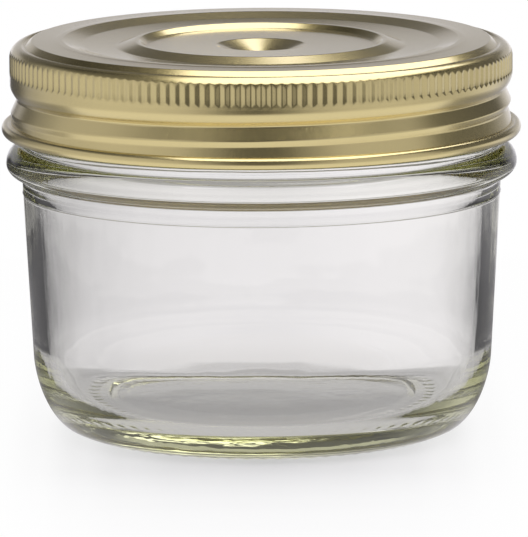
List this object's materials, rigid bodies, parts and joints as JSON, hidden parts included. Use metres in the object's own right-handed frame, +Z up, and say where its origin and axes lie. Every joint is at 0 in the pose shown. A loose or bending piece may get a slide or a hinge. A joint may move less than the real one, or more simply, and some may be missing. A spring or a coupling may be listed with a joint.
{
  "type": "canning jar",
  "caption": "Wide-mouth glass canning jar with a fill line, a sealing capsule and a knurled gold screw cap that turns up its thread.",
  "frame": {"origin": "middle of the bearing ring under the base, on the surface that the jar stands on", "axes": "+Z up the jar's axis, out of its mouth; -Y faces the camera of the picture"},
  "size_m": [0.112, 0.112, 0.0853],
  "materials": {
    "clear_glass": "clear pressed soda-lime glass, faint grey-green in thick parts",
    "sealing_compound": "matt grey lining compound",
    "capsule_tinplate": "gold lacquered tinplate, satin",
    "gold_tinplate": "gold lacquered tinplate, satin, pressed and knurled"
  },
  "bodies": {
    "jar": {"jar": "clear_glass"},
    "capsule": {"sealing_capsule": "capsule_tinplate", "sealing_compound": "sealing_compound"},
    "cap": {"screw_cap": "gold_tinplate"}
  },
  "joints": [
    {"name": "lid_rise", "type": "slide", "parent": "jar", "child": "capsule", "axis": [0, 0, 1], "range_m": [0, 0.00847]},
    {"name": "cap_turn", "type": "hinge", "parent": "capsule", "child": "cap", "pos_m": [0, 0, 0.0742], "axis": [0, 0, 1], "range_deg": [0, 720]}
  ],
  "couplings": [
    {"joint": "lid_rise", "follows": "cap_turn", "m_per_rad": 0.00067376}
  ]
}
